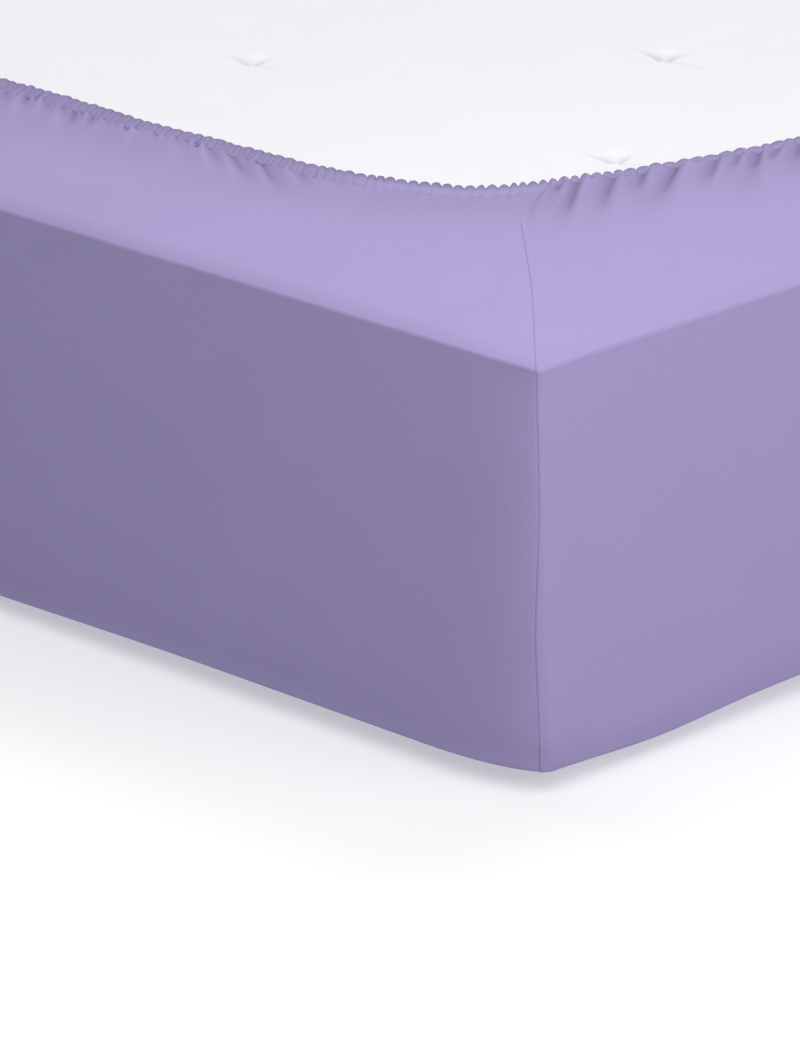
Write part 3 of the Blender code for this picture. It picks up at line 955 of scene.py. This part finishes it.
def casing_shade(cols, share, bump, rib, rise, cut):
    """Painted shade on the casing's cloth: in notches, ribs and creases, and darker marks along the
    stitches.
    """
    shade = NOTCH_SHADE.at(cols) * (1 - bump) ** 2
    plain = CASING_SHADE.at(cols)
    shade = plain + (1 - plain) * np.maximum(shade, RIB_SHADE * rib)
    marks = 0.5 + 0.5 * np.sin(cols.way * STITCH_MARKS[0]) * np.sin(cols.way * STITCH_MARKS[1])
    close = exp(-((share - STITCH_SHARE) / STITCH_SPREAD) ** 2)
    shade = np.maximum(shade, STITCH_SHADE.at(cols) * marks * close)
    shade = np.maximum(shade, crease_painted_shade(cut) * share)
    return np.maximum(shade, BEAD_SHADE.at(cols) * rise ** 1.5)


def casing_ring(cols, share, under, cut):
    """A ring across the casing, and its shade: share 1 at the stitch line, 0 at the crest."""
    bump, size = scallop_at(cols)
    rib = rib_at(cols, share)
    rise = max(0.0, 1 - share) ** CASING_POWER.at(cols)
    high = crest_height(cols, bump, size, min(share, 1.0)) + CREST_CARRIED * under - RIB_DEPTH * rib
    stitch = STITCH_STEP.at(cols) * (STITCH_BY_CUT[0] + STITCH_BY_CUT[1] * cut)
    low = GAP + CASING_FOOT if share > 1.0 else OUTER + under + stitch
    here = leant_casing(cols, share)
    points = hem_line(here, CASING_WIDTH.at(here) * share)
    shade = casing_shade(cols, share, bump, rib, rise, cut)
    return on_top(points, low, (high - low) * rise), shade


def bead_ring(cols, degrees, under):
    """A ring round the scalloped inner edge, from the crest down to the bottom."""
    bump, size = scallop_at(cols)
    high = crest_height(cols, bump, size) + CREST_CARRIED * under
    radius = (high - GAP) / 2
    turn = radians(degrees)
    out = -radius * sin(turn) * (BEAD_OUT[0] + BEAD_OUT[1] * bump * size)
    return with_height(hem_line(cols, out), TOP_HEIGHT + high - radius * (1 - cos(turn)))


def build_hem(material):
    """The hem: its casing from the stitch line up to the crest, the bead, and its lower face."""
    shell = Shell()
    cols = casing_columns()
    foot = leant_casing(cols, 1.0)
    cut = np.minimum(crease_shares(foot.way, below_hem(foot, 0.0)[None])[0][0], SOFT_CUT)
    under = gather_lift(foot, 0.0) * (1 - LIFT_TAKEN * cut)
    for share in CASING_SHARES:
        shell.add(cols, *casing_ring(cols, share, under, cut))
    for degrees in BEAD_TURNS:
        shell.add(cols, bead_ring(cols, degrees, under), BEAD_SHADE.at(cols))
    shell.add(cols, on_top(hem_line(cols, CASING_WIDTH.at(cols) * CASING_UNDER), GAP))
    shell.join(shell.rings[-1], shell.rings[0])
    return shell.build("gathered_hem", material, straight=False)


# --- The mattress ---
TOP_INSET = 0.125  # from the mattress's outline to the fine grid on top
MATTRESS_FOLD = 0.016  # radius of its upper edge
MATTRESS_TURN = radians(82)
MATTRESS_STEPS = 5
MATTRESS_INSETS = (0.035, 0.065, 0.10)  # rings between the edge and the grid
GRID_COARSE = 0.016
GRID_FINE = 0.0018
GRID_NEAR = 0.014  # from a tuft, where the grid starts to grow coarse
GRID_REACH = 0.05
TUFT_PITCH = 0.293
TUFTS_IN_ROW = 6
TUFTS_PLACED = 2  # in each row; the others wander by chance
TUFT_ROWS = (
    # row's place across, first tuft's place along
    (-0.167, 0.799),
    (0.012, 0.673),
    (0.172, 0.790),
)
TUFT_WANDER = 0.006
TUFT_TURN = 14  # degrees
TUFT_SIZES = (0.8, 1.15)
TUFT_EDGE = 0.09  # from its middle to where a tuft ends
TUFT_DIPS = ((0.0014, 0.0075), (0.0008, 0.030))  # depth and reach
TUFT_PUFF = 0.0009
TUFT_PUFF_AT = (-0.007, 0.009)
TUFT_PUFF_REACH = 0.0075
TUFT_PLAIN = 0.16  # painted shade of the ticking away from the tufts; the puffs lose it, as painted highlight
TUFT_CREASES = (
    # way of the crease in degrees, length, depth, width
    (180, 0.020, 0.0016, 0.0022),
    (93, 0.016, 0.0014, 0.0022),
    (178, 0.055, 0.0005, 0.0050),
    (92, 0.032, 0.0005, 0.0050),
    (5, 0.060, 0.0005, 0.0045),
)
TUFT_CREASE_START = 0.003
TICKING_WAVE = 0.0005


def tuft_places(dice):
    """Centre, turn and size of every tuft."""
    rows = []
    for across, first in TUFT_ROWS:
        for count in range(TUFTS_IN_ROW):
            placed = count < TUFTS_PLACED
            wander = np.zeros(2) if placed else dice.uniform(-TUFT_WANDER, TUFT_WANDER, 2)
            turn = dice.uniform(-TUFT_TURN, TUFT_TURN)
            rows.append((first - count * TUFT_PITCH + wander[0], across + wander[1], turn,
                         dice.uniform(*TUFT_SIZES)))
    return rows


def tuft_form(x, y, turn, size):
    """Fall of the ticking at places from a tuft's middle, its puff, which gets painted highlight, and
    its creases' painted shade.
    """
    far = np.hypot(x, y)
    change = 0.0
    for depth, reach in TUFT_DIPS:
        change = change - depth * bell(far / reach)
    puff = bell(np.hypot(x - TUFT_PUFF_AT[0], y - TUFT_PUFF_AT[1]) / TUFT_PUFF_REACH)
    change += TUFT_PUFF * puff
    dark = np.zeros(len(x))
    for degrees, length, depth, width in TUFT_CREASES:
        way = radians(degrees + turn)
        run = x * cos(way) + y * sin(way)
        off = -x * sin(way) + y * cos(way)
        fall = smooth(run / TUFT_CREASE_START) * bell(np.maximum(run, 0) / length)
        cut = depth * fall * np.exp(-np.abs(off / width) ** 1.4)
        change -= cut
        dark = np.maximum(dark, size * cut / TUFT_CREASES[0][2])
    return size * change, puff, dark


def ticking_height(points, tufts):
    """Height of the mattress's upper face with its tufts drawn in, and its painted shade: darker in
    their creases, lighter on their puffs.
    """
    x, y = points.T
    shade = np.full(len(points), TUFT_PLAIN)
    wave = np.sin(9.1 * x + 3.0 * np.sin(5.3 * y)) * np.sin(13.7 * y + 1.9)
    height = crown(points, CROWN_REACH) + TICKING_WAVE * wave
    for middle_x, middle_y, turn, size in tufts:
        close = np.where(np.hypot(x - middle_x, y - middle_y) < TUFT_EDGE)[0]
        change, puff, dark = tuft_form(x[close] - middle_x, y[close] - middle_y, turn, size)
        height[close] += change
        shade[close] = np.maximum(shade[close] - TUFT_PLAIN * puff, dark)
    return height, shade


def grid_lines(limit, centres):
    """Places of grid lines: fine beside the tufts, coarse elsewhere."""
    lines = [-limit]
    while lines[-1] < limit - 1e-9:
        near = min(abs(lines[-1] - centre) for centre in centres)
        step = mixed(GRID_FINE, GRID_COARSE, smooth((near - GRID_NEAR) / GRID_REACH))
        ahead = [centre - lines[-1] for centre in centres if centre > lines[-1]]
        if ahead and min(ahead) > 0.02:
            step = min(step, max(GRID_FINE, min(ahead) - 0.018))
        lines.append(min(limit, lines[-1] + float(step)))
    return np.array(lines)


def mattress_rings(cols):
    """Rings of the mattress from the floor, up its sides and in to the grid on top."""
    low, fold = LOW_RADIUS + EASE, MATTRESS_FOLD + EASE
    ease = np.array((EASE, EASE, 0.0))
    for step in range(MATTRESS_STEPS + 1):
        angle = step / MATTRESS_STEPS * pi / 2
        height = BASE + low * (1 - cos(angle))
        plan = np.array(corner_plan(height)) + ease
        yield with_height(outline(cols, 0, low * (1 - sin(angle)), plan)[0], height)
    plan = np.array(corner_plan(EDGE_HEIGHT)) + ease
    for step in range(1, MATTRESS_STEPS + 1):
        angle = step / MATTRESS_STEPS * MATTRESS_TURN
        height = EDGE_HEIGHT - fold * (1 - sin(angle))
        yield with_height(outline(cols, 0, fold * (1 - cos(angle)), plan)[0], height)
    for inset in MATTRESS_INSETS:
        points = outline(cols, 0, inset, plan)[0]
        yield with_height(points, crown(points, CROWN_REACH))


def ticking_grid(tufts, start):
    """Points, shades, faces and border of the grid on top, numbered from start."""
    xs = grid_lines(LENGTH / 2 - TOP_INSET, [tuft[0] for tuft in tufts])
    ys = grid_lines(WIDTH / 2 - TOP_INSET, [row[0] for row in TUFT_ROWS])
    grid = np.array([(x, y) for y in ys for x in xs])
    height, shade = ticking_height(grid, tufts)
    spots = start + np.arange(len(grid)).reshape(len(ys), len(xs))
    faces = np.dstack((spots[:-1, :-1], spots[:-1, 1:], spots[1:, 1:], spots[1:, :-1]))
    border = np.concatenate((spots[0], spots[1:, -1], spots[-1, -2::-1], spots[-2:0:-1, 0]))
    return with_height(grid, height), shade, faces.reshape(-1, 4).tolist(), border.tolist()


def bridge(points, *loops):
    """Triangles between two loops round the middle, in the order of their bearings."""
    rows = []
    for loop in loops:
        turns = np.arctan2(points[loop, 1] / WIDTH, points[loop, 0] / LENGTH)
        first = int(np.argmin(turns))
        rows += [loop[first:] + loop[:first], np.roll(turns, -first)]
    return strip(*rows, 2 * pi)


def build_mattress(material, tufts):
    """The mattress: rings up its sides, a fan below and a grid on top."""
    cols = Columns(wall_columns().way[::2])
    rings = list(mattress_rings(cols))
    size = len(cols.way)
    middle = len(rings) * size
    faces = []
    for start in range(0, middle - size, size):
        faces += quads(start, start + size, size)
    grid, shade, grid_faces, border = ticking_grid(tufts, middle + 1)
    points = np.concatenate((*rings, [[0.0, 0.0, BASE]], grid))
    faces += fan(0, size, middle) + grid_faces
    faces += bridge(points, list(range(middle - size, middle)), border)
    return make_piece("mattress_cover", points, faces, material, points[in_a_row(faces), :2],
                      np.append(np.full(middle + 1, TUFT_PLAIN), shade))


# --- Materials ---
JERSEY = (0.319, 0.272, 0.492)
JERSEY_PAINTED_SHADE = (0.182, 0.150, 0.275)  # painted shade colour, mixed in deep in a crease and on the hem's rolled edge
TICKING = (0.770, 0.770, 0.800)
# painted shade colour of the ticking, mixed into the tufts' creases
TICKING_PAINTED_SHADE = (0.46, 0.46, 0.48)
FLOOR = (0.53, 0.53, 0.53)
FLOOR_GLOW = 0.43
FLOOR_ROUGHNESS = (0.86, 0.94)
FLOOR_SCALE = 3.0
FLECK_SCALE = 420.0  # flecks of the yarn, about 2 mm apart
CLOUD_SCALE = 16.0  # broad changes of tone
KNIT_PITCH = (0.0011, 0.0009)  # wales and courses
TICKING_PITCH = (0.0009, 0.0009)
THREAD_HEIGHT = 0.0002
THREAD_WANDER = 0.6
NOISE_SPAN = (0.3, 0.7)  # nearly all of a noise's values
SPECULAR = 0.2


def add_node(material, kind, inputs, **settings):
    """A shader node with its inputs and its own settings."""
    node = material.node_tree.nodes.new(kind)
    for name, value in settings.items():
        setattr(node, name, value)
    set_inputs(material, node, inputs)
    return node


def set_inputs(material, node, inputs):
    """Sets sockets to constants, or links other nodes' outputs to them."""
    for name, value in inputs.items():
        if isinstance(value, bpy.types.NodeSocket):
            material.node_tree.links.new(value, node.inputs[name])
        else:
            node.inputs[name].default_value = value


def make_material(name, colour, roughness):
    """A dull material and its shader."""
    material = bpy.data.materials.new(name)
    material.use_nodes = True
    shader = material.node_tree.nodes["Principled BSDF"]
    shader.inputs["Base Color"].default_value = (*colour, 1.0)
    shader.inputs["Roughness"].default_value = roughness
    shader.inputs["Specular IOR Level"].default_value = SPECULAR
    return material, shader


def add_noise(material, place, scale, detail, low, high):
    """Noise on the given coordinates, spread between two values."""
    inputs = {"Vector": place, "Scale": scale, "Detail": detail}
    noise = add_node(material, "ShaderNodeTexNoise", inputs).outputs["Fac"]
    inputs = {"Value": noise, "From Min": NOISE_SPAN[0], "From Max": NOISE_SPAN[1],
              "To Min": low, "To Max": high}
    return add_node(material, "ShaderNodeMapRange", inputs).outputs["Result"]


def add_threads(material, place, direction, pitch):
    """Rows of threads across the cloth at the given pitch in metres."""
    inputs = {"Vector": place, "Scale": 2 * pi / (20 * pitch), "Distortion": THREAD_WANDER,
              "Detail Scale": 0.4}
    return add_node(material, "ShaderNodeTexWave", inputs, bands_direction=direction).outputs["Fac"]


def combine(material, first, second, operation="MULTIPLY"):
    """Two values put together."""
    return add_node(material, "ShaderNodeMath", {0: first, 1: second}, operation=operation).outputs[0]


def make_cloth(name, colour, hidden, roughness, threads, mottle, bump):
    """A woven or knitted material; the piece's shade attribute mixes in the hidden colour, which is
    painted shade.
    """
    material, shader = make_material(name, colour, roughness)
    place = add_node(material, "ShaderNodeUVMap", {}, uv_map="cloth").outputs["UV"]
    shade = add_node(material, "ShaderNodeAttribute", {}, attribute_name="shade").outputs["Fac"]
    colours = {"Factor": shade, "A": (*colour, 1.0), "B": (*hidden, 1.0)}
    mix = add_node(material, "ShaderNodeMix", colours, data_type="RGBA")
    fine = add_noise(material, place, FLECK_SCALE, 2.0, 1 - mottle, 1 + mottle)
    broad = add_noise(material, place, CLOUD_SCALE, 3.0, 1 - 0.7 * mottle, 1 + 0.7 * mottle)
    tone = {"Vector": mix.outputs["Result"], "Scale": combine(material, fine, broad)}
    tinted = add_node(material, "ShaderNodeVectorMath", tone, operation="SCALE")
    rows = add_threads(material, place, "X", threads[0])
    columns = add_threads(material, place, "Y", threads[1])
    height = combine(material, rows, columns, "MAXIMUM")
    relief = {"Height": height, "Strength": bump, "Distance": THREAD_HEIGHT}
    set_inputs(material, shader, {
        "Base Color": tinted.outputs["Vector"],
        "Roughness": combine(material, fine, roughness),
        "Normal": add_node(material, "ShaderNodeBump", relief).outputs["Normal"],
    })
    return material


jersey = make_cloth("jersey", JERSEY, JERSEY_PAINTED_SHADE, roughness=0.85,
                    threads=KNIT_PITCH, mottle=0.018, bump=0.25)
ticking = make_cloth("ticking", TICKING, TICKING_PAINTED_SHADE, roughness=0.90,
                     threads=TICKING_PITCH, mottle=0.010, bump=0.20)

tufts = tuft_places(dice)
sheet = build_sheet(jersey)
hem = build_hem(jersey)
mattress = build_mattress(ticking, tufts)
for piece in (sheet, hem, mattress):
    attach(piece, "root")
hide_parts("sheet")
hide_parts("sheet")
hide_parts("mattress")

# --- Floor, light and camera ---
FLOOR_SIZE = 14.0  # from its middle to its edges
FLOOR_LEVEL = -0.0004
CAMERA_AZIMUTH = radians(44.407)
CAMERA_PITCH = radians(19.525)
CAMERA_DISTANCE = 3.372
FOCAL_PIXELS = 6500
IMAGE_HEIGHT = 1040
SENSOR = 36.0
AIM = Vector((LENGTH / 2 + OUTER, -WIDTH / 2 - OUTER, 0.12))
AIM_RIGHT = -0.0673
AIM_UP = 0.0380

LIGHTS = (
    # name, place, what it points at, size, watts
    ("over_front", (2.00, -1.50, 2.60), (1.00, -0.40, 0.10), 2.6, 45),
    ("over_back", (0.20, 1.30, 2.60), (0.60, -0.10, 0.10), 1.8, 45),
    ("end_fill", (4.40, 0.30, 1.50), (1.00, 0.00, 0.10), 2.8, 43.5),
    ("along", (-1.60, -0.30, 1.30), (0.90, -0.30, 0.25), 1.2, 26),
    ("near_end", (1.75, 0.00, 1.55), (1.40, 0.00, 0.00), 1.0, 4.2),
    ("near_corner", (1.30, -0.80, 1.15), (1.10, -0.50, 0.00), 0.7, 4.0),
)


def build_floor():
    """A wide plain floor that glows a little, as if lit from all round."""
    mesh = bpy.data.meshes.new("floor")
    corners = [(x * FLOOR_SIZE, y * FLOOR_SIZE, FLOOR_LEVEL)
               for x, y in ((-1, -1), (1, -1), (1, 1), (-1, 1))]
    mesh.from_pydata(corners, [], [(0, 1, 2, 3)])
    material, shader = make_material("floor", FLOOR, 0.9)
    place = add_node(material, "ShaderNodeTexCoord", {}).outputs["Object"]
    rough = add_noise(material, place, FLOOR_SCALE, 2.0, *FLOOR_ROUGHNESS)
    material.node_tree.links.new(rough, shader.inputs["Roughness"])
    shader.inputs["Emission Color"].default_value = (1, 1, 1, 1)
    shader.inputs["Emission Strength"].default_value = FLOOR_GLOW
    mesh.materials.append(material)
    add_object("floor", mesh)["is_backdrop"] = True


def build_camera():
    """The camera, at its distance from a point beside the seen corner."""
    data = bpy.data.cameras.new("camera")
    data.sensor_width = SENSOR
    data.lens = FOCAL_PIXELS / IMAGE_HEIGHT * SENSOR
    camera = add_object("camera", data)
    level = cos(CAMERA_PITCH)
    forward = Vector((-sin(CAMERA_AZIMUTH) * level, cos(CAMERA_AZIMUTH) * level, -sin(CAMERA_PITCH)))
    right = Vector((cos(CAMERA_AZIMUTH), sin(CAMERA_AZIMUTH), 0))
    up = right.cross(forward)
    place = AIM + right * AIM_RIGHT + up * AIM_UP - forward * CAMERA_DISTANCE
    turn = Matrix((right, up, -forward)).transposed()
    camera.matrix_world = Matrix.Translation(place) @ turn.to_4x4()
    bpy.context.scene.camera = camera


def add_area(name, location, target, size, power):
    """A round light that points at its target."""
    data = bpy.data.lights.new(name, "AREA")
    data.shape = "DISK"
    data.size = size
    data.energy = power
    light = add_object(name, data)
    light.location = location
    light.rotation_mode = "QUATERNION"
    light.rotation_quaternion = (Vector(target) - Vector(location)).to_track_quat("-Z", "Y")


build_floor()
build_camera()
for light in LIGHTS:
    add_area(*light)
world = bpy.data.worlds.new("world")
bpy.context.scene.world = world
world.use_nodes = True
world.node_tree.nodes["Background"].inputs["Strength"].default_value = 0.0
bpy.context.scene.view_settings.view_transform = "Standard"

size = [list(corner) for corner in (*cad_box, *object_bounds())]
